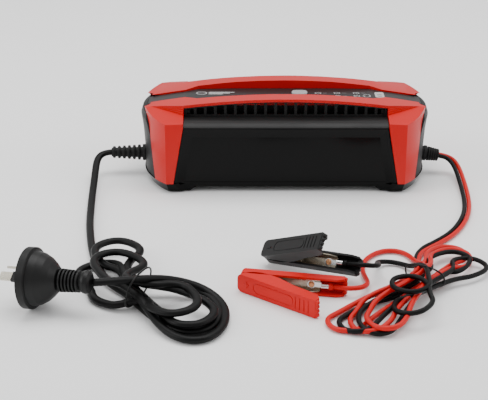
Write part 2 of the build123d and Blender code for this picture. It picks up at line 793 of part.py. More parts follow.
# ---- Mains plug ---------------------------------------------------------------------
def plug_location():
    return Plane(origin=PLUG_FACE, x_dir=(0.265, 0.963, 0), z_dir=PLUG_AXIS).location


def plug_body():
    """Round plug: rim, bell, ribbed neck and end bulb, turned about its axis."""
    bell = [
        (0, 0),
        (PLUG_R, 0),
        (PLUG_R, 5.2),
        (PLUG_R - 1.3, 5.8),
        (PLUG_R - 2.2, 6.0),
        (17.6, 11.0),
        (15.2, 15.5),
        (12.2, 19.0),
        (9.6, 21.4),
        (8.4, 22.6),
    ]
    for i in range(6):
        z = 23.4 + i * 2.45
        core = 5.6
        rib = 8.0 - i * 0.12
        bell += [(core, z), (core, z + 0.9), (rib, z + 1.1), (rib, z + 2.2)]
    bell += [(6.2, 38.6), (7.5, 40.6), (8.0, 42.4), (7.3, 44.8), (5.2, PLUG_LENGTH), (0, PLUG_LENGTH)]
    section = Plane(origin=(0, 0, 0), x_dir=(1, 0, 0), z_dir=(0, -1, 0)) * make_face(
        Polyline(*bell, close=True)
    )
    body = revolve(section, Axis.Z, 360)
    for blade in blade_places():
        body = body - blade * Pos(0, 0, 4) * Box(6.42, 1.72, 10.0)
    return plug_location() * body


def blade_places():
    """Two flat blades at thirty degrees, in an inverted V."""
    half_pitch = 13.7 / 2
    return [Pos(side * half_pitch, 3.2, 0) * Rot(0, 0, -side * 30) for side in (-1, 1)]


def plug_blades():
    blades = []
    for place in blade_places():
        blade = Pos(0, 0, -4.2) * Box(6.3, 1.6, 25.4)
        blades.append(place * chamfer(blade.edges().group_by(Axis.Z)[0], 0.35))
    return plug_location() * Compound(children=blades)


def blade_sleeves():
    """Insulated roots of the blades."""
    sleeves = []
    for place in blade_places():
        sleeve = Pos(0, 0, -4.0) * Box(7.1, 2.4, 7.9) - Pos(0, 0, -4) * Box(6.34, 1.64, 20)
        sleeves.append(place * sleeve)
    return plug_location() * Compound(children=sleeves)


# ---- Battery clamps -----------------------------------------------------------------
def side_plate(outline, z0, z1):
    return extrude(Pos(0, 0, z0) * make_face(Polyline(*outline, close=True)), z1 - z0)


def cover(outline, inner, length, lobes):
    """U-shaped plastic cover: an outer wall with a flange along each side.

    Drawn with the outer face at y = 0, the jaw end at x = 0, and the width along z.
    """
    body = side_plate(outline, 0, CLAMP_W)
    body = fillet(body.edges().filter_by(Axis.Z).sort_by(Axis.X)[:1], 2.6)
    plan = extrude(Pos(length / 2, 0, CLAMP_W / 2) * Rot(90, 0, 0) * jaw_plan(length), 40, both=True)
    body = body & plan
    body = body - side_plate(inner, CLAMP_WALL, CLAMP_W - CLAMP_WALL)
    for i in range(lobes):
        z = 2.0 + i * (CLAMP_W - 4.0) / (lobes - 1)
        lobe = Pos(length + 0.2, 1.6, z) * Rot(90, 0, 0) * Cylinder(1.7, 2.8)
        body = body + fillet(lobe.edges(), 0.35)
    for i in range(4):
        x = length - 5.5 - i * 3.6
        body = body - Pos(x, 0, CLAMP_W / 2) * Box(0.9, 0.7, CLAMP_W - 4.4)
    panel = Plane(origin=(length * 0.47, 0, CLAMP_W / 2), x_dir=(1, 0, 0), z_dir=(0, -1, 0))
    groove = extrude(SlotOverall(length * 0.52, 8.0), 0.3, both=True)
    groove = groove - extrude(SlotOverall(length * 0.52 - 1.4, 6.6), 1, both=True)
    return body - panel * groove


def jaw_plan(length):
    """A cover's outline from above: rounded at the jaw end, square at the other."""
    outline = Rectangle(length + 0.02, CLAMP_W)
    return fillet(outline.vertices().sort_by(Axis.X)[:2], 3.6)


def polarity_mark(positive):
    """Raised plus or minus sign near the jaw end of the lever's face."""
    bar = Pos(8.0, -0.1, CLAMP_W / 2) * Box(4.6, 0.6, 1.1)
    if positive:
        bar = bar + Pos(8.0, -0.1, CLAMP_W / 2) * Box(1.1, 0.6, 4.6)
    return bar


FIXED_DEPTH = 7.3
LEVER_DEPTH = 12.6


def jaw_line(x):
    """Depth of the lever's jaw edge: the line where the two sides meet when shut."""
    tilt = math.tan(math.radians(HANDLE_ANGLE))
    return LEVER_PIVOT[1] - (LEVER_PIVOT[0] - x) * tilt - 0.35


def lever_outline(inset):
    wall = inset
    end = LEVER_LENGTH
    start = 0.0 if inset == 0 else inset + 0.2
    lift = 0 if inset == 0 else 5
    return [
        (start, wall),
        (end + (1 if inset else 0), wall),
        (end + (1 if inset else 0), 4.6 + lift),
        (end - 4.5, 8.6 + lift),
        (42, 9.7 + lift),
        (27, LEVER_DEPTH + lift),
        (19.0, LEVER_DEPTH + lift),
        (18.0, jaw_line(18.0) - 0.2 + lift),
        (start, jaw_line(start) + lift),
    ]


def fixed_cover():
    outline = [(0, 0), (COVER_LENGTH, 0), (COVER_LENGTH, 5.0), (68, FIXED_DEPTH), (0.6, FIXED_DEPTH)]
    outline += [(0, 4.0)]
    inner = [(CLAMP_WALL + 0.2, CLAMP_WALL), (COVER_LENGTH + 3, CLAMP_WALL), (COVER_LENGTH + 3, 12)]
    inner += [(CLAMP_WALL + 0.2, 12)]
    body = cover(outline, inner, COVER_LENGTH, 4)
    notch = Pos(12, FIXED_DEPTH + 14, CLAMP_W / 2) * Cylinder(16, CLAMP_W + 2)
    return body - notch


def lever_cover(positive):
    body = cover(lever_outline(0), lever_outline(CLAMP_WALL), LEVER_LENGTH, 4)
    return body + polarity_mark(positive)


def channel(outline, half_width, pivot, ear_r, hole_r, base_x0, base_x1):
    """Pressed metal channel: a base plate, two side walls and two ears for the pin."""
    mid = CLAMP_W / 2
    walls = side_plate(outline, mid - half_width, mid + half_width)
    walls = walls + Pos(pivot[0], pivot[1], mid) * Cylinder(ear_r, 2 * half_width)
    clear = half_width - METAL
    inside = slab(-20, 120, CLAMP_WALL + 0.2 + METAL, 60, mid - clear, mid + clear)
    shape = walls - inside
    shape = shape & slab(base_x0, base_x1, CLAMP_WALL + 0.1, 60, -5, 30)
    return shape - Pos(pivot[0], pivot[1], mid) * Cylinder(hole_r, 40)


def teeth(shape, start, edge_points, count):
    """Notches along the jaw edge of a metal channel."""
    (x0, y0), (x1, y1) = edge_points
    for i in range(count):
        part = (i + 0.5) / count
        x, y = x0 + (x1 - x0) * part, y0 + (y1 - y0) * part
        shape = shape - Pos(x, y, start) * Rot(0, 0, 45) * Box(0.9, 0.9, 30)
    return shape


def fixed_jaw():
    base = CLAMP_WALL + 0.15
    outline = [(1.9, base), (56, base), (56, 5.0), (50, 6.6), (28, 6.8), (20, 6.8), (16, 5.6)]
    outline += [(8, 5.4), (6, 6.9), (1.9, 6.9)]
    shape = channel(outline, 4.8, FIXED_PIVOT, 3.3, 1.55, 1.9, 56)
    return teeth(shape, CLAMP_W / 2, ((2.2, 6.95), (6.0, 6.95)), 3)


def lever_jaw():
    base = CLAMP_WALL + 0.15
    outline = [(2.2, base), (44, base), (44, 7.0), (30, 12.0), (21, 14.2), (18.5, jaw_line(18.5) - 0.4)]
    outline += [(8.5, jaw_line(8.5) - 2.2), (6.5, jaw_line(6.5) - 0.3), (2.2, jaw_line(2.2) - 0.3)]
    shape = channel(outline, 3.7, LEVER_PIVOT, 3.3, 1.75, 2.2, 44)
    return teeth(shape, CLAMP_W / 2, ((2.4, jaw_line(2.4) - 0.3), (6.2, jaw_line(6.2) - 0.3)), 3)


def pivot_pin():
    return Pos(FIXED_PIVOT[0], FIXED_PIVOT[1], CLAMP_W / 2) * Cylinder(1.45, 10.0)


SPRING_R = 2.35


def clamp_spring():
    """Torsion spring on the pin: its coil, with a leg along each side's base plate."""
    mid = CLAMP_W / 2
    x, y = FIXED_PIVOT
    coil = Cylinder(SPRING_R + 0.5, 4.4) - Cylinder(SPRING_R - 0.5, 6)
    low = Rot(0, 0, -6) * Pos(7.5, -SPRING_R - 0.05, -1.7) * Box(15, 0.8, 0.8)
    high = Rot(0, 0, HANDLE_ANGLE + 22) * Pos(7.5, SPRING_R + 0.05, 1.7) * Box(15, 0.8, 0.8)
    return Pos(x, y, mid) * (coil + low + high)


def terminal():
    """Crimped eyelet of the lead, flat on the jaw's base plate."""
    mid = CLAMP_W / 2
    base = CLAMP_WALL + 0.25 + METAL
    eye = Pos(50, base + 0.4, mid) * Rot(90, 0, 0) * Cylinder(2.9, 0.8)
    eye = eye + slab(50, 58, base, base + 0.8, mid - 1.8, mid + 1.8)
    barrel = Pos(61, base + 1.6, mid) * Rot(0, 90, 0) * Cylinder(2.2, 8)
    eye = eye + barrel
    return eye - Pos(50, base, mid) * Rot(90, 0, 0) * Cylinder(1.3, 6)


def rivet():
    mid = CLAMP_W / 2
    base = CLAMP_WALL + 1.05 + METAL
    head = Pos(50, base + 0.6, mid) * Rot(90, 0, 0) * Cylinder(2.1, 1.2)
    head = fillet(head.edges().sort_by(Axis.Y)[-1], 0.7)
    shank = Pos(50, base - 0.4, mid) * Rot(90, 0, 0) * Cylinder(1.25, 0.9)
    return head + shank


def on_lever(shape):
    """Turn a lever piece over and set it on the pin, jaws shut."""
    flipped = mirror(shape, Plane.XZ)
    centred = Pos(-LEVER_PIVOT[0], LEVER_PIVOT[1], 0) * flipped
    return Pos(FIXED_PIVOT[0], FIXED_PIVOT[1], 0) * Rot(0, 0, HANDLE_ANGLE) * centred


def clamp_frame(origin, yaw, pitch, roll):
    """Placement of a clamp: x along its cable side, y towards its lever."""
    yaw, pitch, roll = math.radians(yaw), math.radians(pitch), math.radians(roll)
    along = Vector(math.cos(yaw) * math.cos(pitch), math.sin(yaw) * math.cos(pitch), math.sin(pitch))
    away = Vector(0, 0, 1).cross(along).normalized()
    up = along.cross(away)
    width = away * math.cos(roll) + up * math.sin(roll)
    return Plane(origin=origin, x_dir=tuple(along), z_dir=tuple(width * -1)).location


RED_CLAMP = clamp_frame((-36.0, -225.4, CLAMP_W + 0.1), -11.3, 0, 90)
BLACK_CLAMP = clamp_frame((-14.0, -180.5, 9.6), -30.0, 4.5, 44.0)


def clamp(prefix, place, positive):
    """Every piece of one clamp, placed."""
    pieces = {
        "fixed_cover": fixed_cover(),
        "lever_cover": on_lever(lever_cover(positive)),
        "fixed_jaw": fixed_jaw(),
        "lever_jaw": on_lever(lever_jaw()),
        "pivot_pin": pivot_pin(),
        "spring": clamp_spring(),
        "terminal": terminal(),
        "rivet": rivet(),
    }
    return {prefix + "_" + name: place * shape for name, shape in pieces.items()}


# ---- Assembly -----------------------------------------------------------------------
def build():
    panel = fascia()
    grille = vent_grille()
    nodes = {
        "front_shell": red_shell(),
        "rear_shell": mirror(red_shell(REAR_RISE), Plane.XZ),
        "upper_case": upper_case() - pipe_holes(),
        "lower_case": lower_case() + board_posts(),
        "left_end_cap": end_cap(-1),
        "right_end_cap": end_cap(1),
        "front_fascia": panel,
        "rear_fascia": mirror(panel, Plane.XZ),
        "front_vent_grille": grille,
        "rear_vent_grille": mirror(grille, Plane.XZ),
        "control_overlay": control_overlay(),
        "select_button": select_button(),
        "rubber_feet": rubber_feet(),
        "case_screws": case_screws(),
        "main_board": main_board(),
        "board_screws": board_screws(),
        "transformer_core": transformer_core(),
        "transformer_winding": transformer_winding(),
        "transformer_bobbin": transformer_bobbin(),
        "input_capacitor": cylinder_can(-34, 0, 9.0, 30),
        "output_capacitors": output_capacitors(),
        "input_heat_sink": heat_sink(-52, -1),
        "output_heat_sink": heat_sink(60, 1),
        "power_transistors": power_transistors(),
        "output_choke": output_choke(),
        "mains_fuse": mains_fuse(),
        "display_board": display_board(),
        "button_switch": button_switch(),
        "leds": leds(),
        "light_pipes": light_pipes(),
        "mains_gland": gland(MAINS_GLAND, MAINS_TIP, 7.0, 5.0, MAINS_D, 6, 2.3),
        "battery_lead_gland": gland(LEAD_GLAND, LEAD_TIP, 6.6, 5.2, 4.8, 5, 1.5),
        "mains_cord": cord_tube("mains_cord", MAINS_OUT, MAINS_D),
        "mains_hank": solids_only(hank(MAINS_HANK, 17, 3) - mains_tie(0.3)),
        "mains_hank_tie": mains_tie(),
        "plug_body": plug_body(),
        "plug_blades": plug_blades(),
        "blade_sleeves": blade_sleeves(),
        "red_lead": cord_tube("red_lead", DC_RED_OUT, LEAD_D),
        "black_lead": cord_tube("black_lead", DC_BLACK_OUT, LEAD_D),
        "battery_lead_hank": solids_only(hank(DC_HANK, 13, 2.5) - battery_lead_tie(0.3)),
        "battery_lead_tie": battery_lead_tie(),
        "red_lead_to_clamp": cord_tube("red_lead_to_clamp", RED_TO_CLAMP, LEAD_D),
        "black_lead_to_clamp": cord_tube("black_lead_to_clamp", BLACK_TO_CLAMP, LEAD_D),
    }
    nodes.update(clamp("positive", RED_CLAMP, True))
    nodes.update(clamp("negative", BLACK_CLAMP, False))
    return nodes


os.makedirs("parts", exist_ok=True)
for node_name, node_shape in build().items():
    export_step(node_shape, "parts/" + node_name + ".step")
    print(node_name)
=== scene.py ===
# %% [markdown]
# A car battery charger: an arched case with two red shells, a mains lead tied in a hank,
# and a pair of battery clamps on a twin lead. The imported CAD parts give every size. This
# lesson adds the looks: cords that lie as cords do, rounded edges, printed graphics, wire
# springs and moulded, rubbery and metallic finishes.

# %% Frame
import math

import bmesh
import bpy
from mathutils import Matrix, Vector
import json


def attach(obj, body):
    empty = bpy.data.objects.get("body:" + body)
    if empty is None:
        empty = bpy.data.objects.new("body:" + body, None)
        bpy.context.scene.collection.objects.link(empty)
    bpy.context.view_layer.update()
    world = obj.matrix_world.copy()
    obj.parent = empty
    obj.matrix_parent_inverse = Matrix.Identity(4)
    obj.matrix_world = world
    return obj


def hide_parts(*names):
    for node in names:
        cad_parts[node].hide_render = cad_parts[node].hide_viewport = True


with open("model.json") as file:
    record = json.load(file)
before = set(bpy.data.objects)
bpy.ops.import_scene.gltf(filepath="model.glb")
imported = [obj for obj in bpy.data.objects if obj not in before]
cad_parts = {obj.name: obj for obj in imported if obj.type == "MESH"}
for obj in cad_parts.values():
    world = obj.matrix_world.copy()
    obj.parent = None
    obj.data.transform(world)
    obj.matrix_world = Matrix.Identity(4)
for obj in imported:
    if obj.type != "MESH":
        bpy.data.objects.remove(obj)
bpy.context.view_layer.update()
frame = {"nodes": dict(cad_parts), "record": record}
nodes = frame["nodes"]
MM = 0.001
print("CAD parts:", len(nodes))

# %% [markdown]
# A product picture is taken from a little above, with a long lens, so that the case hardly
# tapers. The camera is placed by its pitch and its distance from the middle of the case,
# then moved sideways and up until the whole layout is in the frame.

# %% Camera
PITCH = math.radians(22)
DISTANCE = 1.1
LENS_MM = 93.32
SIDEWAYS, UPWARDS = 0.0344, 0.0248
right = Vector((1, 0, 0))
forward = Vector((0, math.cos(PITCH), -math.sin(PITCH)))
upward = Vector((0, math.sin(PITCH), math.cos(PITCH)))

camera_data = bpy.data.cameras.new("camera")
camera_data.lens = LENS_MM
camera_data.sensor_width = 36
camera = bpy.data.objects.new("camera", camera_data)
camera.location = -(SIDEWAYS * right + UPWARDS * upward + DISTANCE * forward)
camera.rotation_euler = (math.pi / 2 - PITCH, 0, 0)
bpy.context.collection.objects.link(camera)
bpy.context.scene.camera = camera
print("camera at", [round(c, 3) for c in camera.location])

# %% [markdown]
# The mains lead is a flat twin-core cord. It leaves its strain relief, falls to the table,
# and is wound back and forth through one wire tie. A NURBS spline of order 3, with the
# route's points as its control points, gives a smooth line. Each pass through the tie lies a little higher.

# %% Route of the mains lead
MAINS_OUT = [
    (-148.6, 0, 18),
    (-154.8, -0.8, 17.6),
    (-159.2, -6.2, 16),
    (-160.4, -14.6, 13.6),
    (-160.2, -27, 10.6),
    (-159.6, -44, 7.2),
    (-158.8, -66, 4.4),
    (-157, -94, 2.8),
    (-154.4, -124, 2.8),
    (-150.4, -153, 2.8),
    (-146, -178, 3),
    (-141.6, -195, 3.4),
]
MAINS_LOOPS = [
    (-136, -214, 3.2), (-128, -230, 2.8), (-115.4, -245, 2.8), (-107, -260, 2.8),
    (-97, -277, 2.8), (-86, -292, 2.8), (-73, -302, 2.8), (-60, -300, 2.8),
    (-52, -286, 2.8), (-51, -268, 3.5), (-58, -253, 5), (-70, -245, 6.5), (-84, -242, 8),
    (-97, -242, 9.5), (-108, -241, 9.8), (-114.8, -226, 9), (-118.8, -203, 8.5),
    (-122.5, -182, 9), (-129.5, -170, 9.5), (-136.5, -178, 8.5), (-133.5, -195, 7.5),
    (-122.5, -216, 7.5), (-115.4, -236, 8), (-107, -253, 8.3), (-96, -271, 7),
    (-84, -288, 7.5), (-73, -299, 8), (-63, -300, 8.2), (-57, -289, 8.6), (-59, -275, 9.5),
    (-68, -265, 11), (-80, -258, 12.4), (-93, -255, 13.4), (-105, -252, 13.6),
    (-114.8, -238, 12), (-120.5, -219, 9), (-132.5, -202, 5.5), (-143.5, -197, 3),
    (-149.5, -207, 2.8), (-147.5, -223, 2.8), (-140.5, -239, 2.8), (-138, -252, 2.8),
    (-128, -261, 2.8), (-117, -266, 3.6), (-106, -266, 6.5), (-97, -269, 9),
    (-86, -279, 11.5), (-77, -287, 12.6), (-72, -281, 13.6), (-76, -271, 14.6),
    (-85, -264, 16), (-96, -260, 17.4), (-107, -254, 17.8), (-114.3, -238, 16),
    (-118.8, -218, 14), (-125.5, -204, 13), (-132.5, -209, 12.6), (-126.5, -228, 12.6),
    (-120, -247, 12.8), (-108, -262, 12), (-99, -277, 8.5), (-91, -293, 5), (-81, -306, 3),
    (-69, -313, 2.8), (-57, -310, 2.8), (-48.5, -296, 2.8), (-46, -277, 2.8),
    (-50, -259, 4), (-61, -248, 7.5), (-74, -246, 12), (-87, -251, 17), (-99, -259, 21),
    (-111, -266, 23.2), (-123, -269.6, 23.8), (-134.6, -270.6, 23.4),
]


def metres(points):
    return [Vector(p) * MM for p in points]


def relaxed(points, radius, rounds=400, hold=0.02):
    """The same winding, with its tight folds opened towards a radius, as a stiff cord would.

    Two neighbours of a point that bends too sharply are pushed apart in plan, while every
    point is drawn back a little to where it was. Heights and both ends stay as they are.
    """
    home = [list(p) for p in points]
    soft = [list(p) for p in points]
    last = len(soft) - 1
    for _ in range(rounds):
        for i in range(1, last):
            a, b, c = soft[i - 1], soft[i], soft[i + 1]
            before, after, chord = math.dist(a, b), math.dist(b, c), math.dist(a, c)
            ratio = radius / (min(before, after) / 2)
            bend = math.asin((math.sqrt(ratio * ratio + 4) - ratio) / 2)
            want = (before + after) * math.cos(bend)
            if chord >= want:
                continue
            push = 0.2 * (want - chord) / max(chord, 1)
            inward = 0.12 * min(1, 3 * (want - chord) / want)
            for j in (0, 1):
                step = (c[j] - a[j]) * push
                if i > 1:
                    a[j] -= step
                if i < last - 1:
                    c[j] += step
                b[j] += inward * ((a[j] + c[j]) / 2 - b[j])
        for i in range(1, last):
            for j in (0, 1):
                soft[i][j] += hold * (home[i][j] - soft[i][j])
    return [tuple(p) for p in soft]


mains_route = metres(MAINS_OUT + relaxed(MAINS_LOOPS, 13.8))
print("mains lead points:", len(mains_route))

# %% Smooth line of a route
def route_curve(name, points):
    """A curve object with one NURBS spline that has the route's points as control points."""
    data = bpy.data.curves.new(name, "CURVE")
    data.dimensions = "3D"
    spline = data.splines.new("NURBS")
    spline.points.add(len(points) - 1)
    for slot, point in zip(spline.points, points):
        slot.co = (*point, 1)
    spline.order_u = 3
    spline.use_endpoint_u = True
    spline.resolution_u = 10
    curve = bpy.data.objects.new(name, data)
    bpy.context.collection.objects.link(curve)
    return curve


def line_points(curve):
    """The points along a curve that has no bevel, in order."""
    bpy.context.view_layer.update()
    graph = bpy.context.evaluated_depsgraph_get()
    mesh = bpy.data.meshes.new_from_object(curve.evaluated_get(graph))
    points = [mesh.vertices[0].co.copy()]
    for vertex in mesh.vertices[1:]:
        if (vertex.co - points[-1]).length > 0.2 * MM:
            points.append(vertex.co.copy())
    bpy.data.meshes.remove(mesh)
    return points


def line_length(points):
    return sum((b - a).length for a, b in zip(points, points[1:]))


# %% Meshes from points
def new_piece(name, verts, faces, smooth=True):
    mesh = bpy.data.meshes.new(name)
    mesh.from_pydata([tuple(v) for v in verts], [], faces)
    mesh.validate()
    bm = bmesh.new()
    bm.from_mesh(mesh)
    bmesh.ops.recalc_face_normals(bm, faces=bm.faces)
    bm.to_mesh(mesh)
    bm.free()
    mesh.polygons.foreach_set("use_smooth", [smooth] * len(mesh.polygons))
    piece = bpy.data.objects.new(name, mesh)
    bpy.context.collection.objects.link(piece)
    return piece


def tube_along(name, points, section, up=Vector((0, 0, 1)), closed=False):
    """A closed tube with the given section, kept upright along the points."""
    verts, faces = [], []
    count, ring = len(points), len(section)
    side = None
    for i, point in enumerate(points):
        before = points[i - 1] if i or closed else points[i]
        after = points[(i + 1) % count] if i < count - 1 or closed else points[i]
        ahead = (after - before).normalized()
        level = ahead.cross(up)
        if level.length < 0.2:
            level = side - ahead * side.dot(ahead) if side else ahead.orthogonal()
        side = level.normalized()
        rise = side.cross(ahead)
        verts += [point + side * x + rise * y for x, y in section]
    for i in range(count if closed else count - 1):
        a, b = i * ring, ((i + 1) % count) * ring
        for j in range(ring):
            k = (j + 1) % ring
            faces.append((a + j, a + k, b + k, b + j))
    if not closed:
        faces.append(tuple(range(ring)))
        faces.append(tuple(range((count - 1) * ring, count * ring)))
    return new_piece(name, verts, faces)


# %% The flat mains cord
CORD_WIDTH, CORD_THICK = 6.2 * MM, 4.6 * MM


def flat_section(width, thick, steps=5):
    """Two round cores side by side in one jacket: a slot with round ends."""
    radius, shift = thick / 2, (width - thick) / 2
    points = []
    for end in (1, -1):
        for i in range(steps + 1):
            angle = math.radians(-90 + 180 * i / steps) + (0 if end > 0 else math.pi)
            points.append((end * shift + radius * math.cos(angle), radius * math.sin(angle)))
    return points


mains_line_curve = route_curve("mains_line", mains_route)
mains_line = line_points(mains_line_curve)
bpy.data.objects.remove(mains_line_curve)
mains_cord = tube_along("mains_cord_flex", mains_line, flat_section(CORD_WIDTH, CORD_THICK))

# %% [markdown]
# The battery lead is a red and a black core side by side. Both are wound into a second
# bundle, then part and run on alone, each to its own clamp. Each one is a spline of its
# own, so that they can cross and part as real ones do.

# %% Routes of the battery leads
RED_OUT = [
    (133.5, 1.95, 15.3), (139.4, 1.95, 14.3), (144.6, -1.6, 13.2), (147.9, -8.4, 11.6),
    (149.6, -18, 9.4), (150.4, -31, 6.6), (150.5, -49.5, 3.8), (149.3, -72, 2.2),
    (145.6, -96, 1.95), (138, -119.5, 1.95), (127, -141, 1.95), (113.5, -157.5, 1.95),
    (102.8, -168.3, 2),
]
RED_LOOPS = [
    (96, -178, 2.5), (93, -190, 3), (90, -205, 4), (85, -223, 5.5), (75, -240, 7),
    (64, -248, 6), (52, -251, 4), (40, -260, 2.2), (29, -274, 2), (22.5, -286, 2),
    (25, -297, 2), (35, -296, 2), (46, -286, 2.5), (57, -274, 3.5), (69, -261, 4),
    (80, -246, 4.5), (93, -231, 5), (105, -215, 5), (116, -199, 4), (124, -184, 3.5),
    (124, -172, 3.5), (117, -168, 4), (107, -180, 5.5), (97, -201, 7), (87, -222, 9),
    (77, -240, 10.5), (65, -250, 10), (55, -253, 7), (46, -259, 4.5), (41, -272, 3),
    (38, -288, 2.5), (41, -300, 2.5), (49, -302, 4), (58, -292, 5.5), (67, -277, 7),
    (78, -260, 8.5), (89, -246, 9.5), (102, -228, 9), (114, -211, 7), (123, -196, 5.5),
    (127, -182, 5), (121, -179, 6), (111, -190, 8), (100, -210, 10), (89, -231, 12),
    (78, -246, 13), (69, -255, 12.5), (60, -260, 9.5), (53, -267, 7), (49, -278, 6),
    (49, -292, 6), (54, -303, 6), (62, -303, 7), (69, -293, 8.5), (76, -278, 10.5),
    (84, -261, 12), (91, -246, 13), (94, -230, 12.5), (93.5, -213, 10), (91.8, -202, 6),
]
RED_SINGLE = [
    (89.4, -192.5, 3.2), (87.6, -181.6, 2.2), (81.3, -172.6, 1.95), (71, -171, 1.95),
    (61.3, -177.3, 1.95), (54.4, -187.6, 1.95), (51, -199, 1.95), (50.6, -211, 2.1),
    (51.8, -221.5, 2.9), (52.2, -230.2, 4), (50.6, -237.3, 5.2), (46.4, -242.9, 6.2),
    (40, -245.2, 6.6), (33.2, -244.4, 6.7), (27.2, -242.3, 6.7),
]
BLACK_OUT = [
    (133.5, -1.95, 15.3), (138.26, -1.95, 14.3), (141.5, -4, 13.2), (144.2, -9.6, 11.6),
    (145.7, -18.5, 9.4), (146.5, -31.1, 6.6), (146.6, -49.4, 3.8), (145.4, -71.6, 2.2),
    (141.8, -95.1, 1.95), (134.4, -118, 1.95), (123.7, -138.8, 1.95), (110.6, -154.9, 1.95),
    (99.6, -166, 2),
]
BLACK_LOOPS = [
    (93.6, -177, 2), (90.5, -191, 2.5), (90, -209, 4), (88, -228, 4), (80, -241, 3.5),
    (70, -251, 3), (58, -255, 2.2), (45, -264, 2), (35, -276, 2), (30, -288, 2),
    (34, -299, 2), (43, -300, 4), (53, -288, 5.5), (64, -274, 6.5), (75, -259, 6.5),
    (87, -245, 7), (98, -231, 7), (109, -217, 6.5), (119, -204, 6), (125, -191, 5.5),
    (121, -184, 6.5), (112, -195, 7.5), (101, -211, 8), (91, -226, 7.5), (79, -243, 8),
    (67, -255, 8), (56, -259, 5.5), (47, -266, 3), (41, -281, 4.5), (43, -297, 4.5),
    (50, -305, 2.2), (60, -301, 3), (68, -289, 4.5), (75, -274, 6), (83, -261, 10),
    (94, -246, 11.5), (106, -229, 9.5), (118, -211, 7.5), (126, -199, 6), (133, -194, 5),
    (135, -202, 4.5), (129, -213, 4.5), (115, -226, 5), (100, -238, 6), (88, -252, 7.5),
    (76, -265, 9), (69, -273, 8),
    (70, -284, 9), (77, -289, 11.5), (84, -282, 13.5), (89, -271, 15), (90, -256, 15.5),
    (84, -245, 15.5), (76, -243, 15), (70, -251, 15.2), (69, -262, 15.5), (76, -270, 15.5),
    (86, -262, 16), (92, -246, 16), (93, -230, 15.5), (91, -215, 11), (88, -206.5, 6),
]
BLACK_SINGLE = [
    (85, -201.6, 3.2), (81, -196.4, 2.3), (75.2, -192.6, 2.1), (68.6, -192.4, 2.7),
    (63.4, -195.8, 4), (61.2, -201.6, 6), (61.3, -208.6, 8.4), (61.3, -215.6, 10.8),
    (59.2, -221.8, 13), (54.6, -225.6, 14.9), (48.8, -226, 15.6), (43, -223.4, 14.6),
    (38.6, -219.9, 13.4),
]

# %% The battery leads
LEAD_D = 3.6 * MM


def round_lead(name, route):
    """A round cord: the route's own curve, with a bevel. Returns it and its length."""
    lead = route_curve(name, metres(route))
    length = line_length(line_points(lead))
    lead.data.bevel_depth = LEAD_D / 2
    lead.data.bevel_resolution = 4
    lead.data.use_fill_caps = True
    print(name, round(length, 3), "m")
    return lead, length


LEAD_FOLD = 3 * LEAD_D / MM  # radius that a fold of the lead opens towards
red_route = RED_OUT + relaxed(RED_LOOPS, LEAD_FOLD) + RED_SINGLE
black_route = BLACK_OUT + relaxed(BLACK_LOOPS, LEAD_FOLD) + BLACK_SINGLE
red_lead, RED_LENGTH = round_lead("red_lead_flex", red_route)
black_lead, BLACK_LENGTH = round_lead("black_lead_flex", black_route)

# %% [markdown]
# Moulded plastic is never quite even. One node group gives every plastic its fine grain:
# a mask for colour and a roughness that wanders a little, both from a broad noise, and a bump from a fine
# noise.
# It works on Object coordinates, so the pattern stays where it is on each part.

# %% Grain group
def new_group(name, inputs, outputs):
    group = bpy.data.node_groups.new(name, "ShaderNodeTree")
    for label, kind, default in inputs:
        socket = group.interface.new_socket(label, in_out="INPUT", socket_type=kind)
        if default is not None:
            socket.default_value = default
    for label, kind in outputs:
        group.interface.new_socket(label, in_out="OUTPUT", socket_type=kind)
    start = group.nodes.new("NodeGroupInput")
    end = group.nodes.new("NodeGroupOutput")
    return group, start, end


def node(tree, kind, **values):
    """Adds a node; a value is set on the input of that name or number, or on the node."""
    made = tree.nodes.new(kind)
    for key, value in values.items():
        if key.startswith("in_"):
            made.inputs[int(key[3:])].default_value = value
        else:
            setattr(made, key, value)
    return made


FLOAT, VECTOR = "NodeSocketFloat", "NodeSocketVector"
grain_group, g_in, g_out = new_group(
    "moulded_grain",
    [("Scale", FLOAT, 900.0), ("Depth", FLOAT, 0.15), ("Roughness", FLOAT, 0.4), ("Wander", FLOAT, 0.08)],
    [("Mottle", FLOAT), ("Roughness", FLOAT), ("Normal", VECTOR)],
)
place = node(grain_group, "ShaderNodeTexCoord")
fine = node(grain_group, "ShaderNodeTexNoise", in_3=3.0)
broad = node(grain_group, "ShaderNodeTexNoise", in_2=28.0, in_3=4.0)
spread = node(grain_group, "ShaderNodeMapRange")
bump = node(grain_group, "ShaderNodeBump")
bump.inputs["Distance"].default_value = 0.0002
link = grain_group.links.new
link(place.outputs["Object"], fine.inputs["Vector"])
link(place.outputs["Object"], broad.inputs["Vector"])
link(g_in.outputs["Scale"], fine.inputs["Scale"])
half = node(grain_group, "ShaderNodeMath", operation="SUBTRACT")
link(g_in.outputs["Roughness"], half.inputs[0])
link(g_in.outputs["Wander"], half.inputs[1])
more = node(grain_group, "ShaderNodeMath", operation="ADD")
link(g_in.outputs["Roughness"], more.inputs[0])
link(g_in.outputs["Wander"], more.inputs[1])
link(broad.outputs["Fac"], spread.inputs["Value"])
spread.inputs["From Min"].default_value = 0.3
spread.inputs["From Max"].default_value = 0.7
link(half.outputs[0], spread.inputs["To Min"])
link(more.outputs[0], spread.inputs["To Max"])
link(fine.outputs["Fac"], bump.inputs["Height"])
link(g_in.outputs["Depth"], bump.inputs["Strength"])
link(broad.outputs["Fac"], g_out.inputs["Mottle"])
link(spread.outputs["Result"], g_out.inputs["Roughness"])
link(bump.outputs["Normal"], g_out.inputs["Normal"])
print("grain group ready")

# %% Plastic, rubber and metal
materials = {}


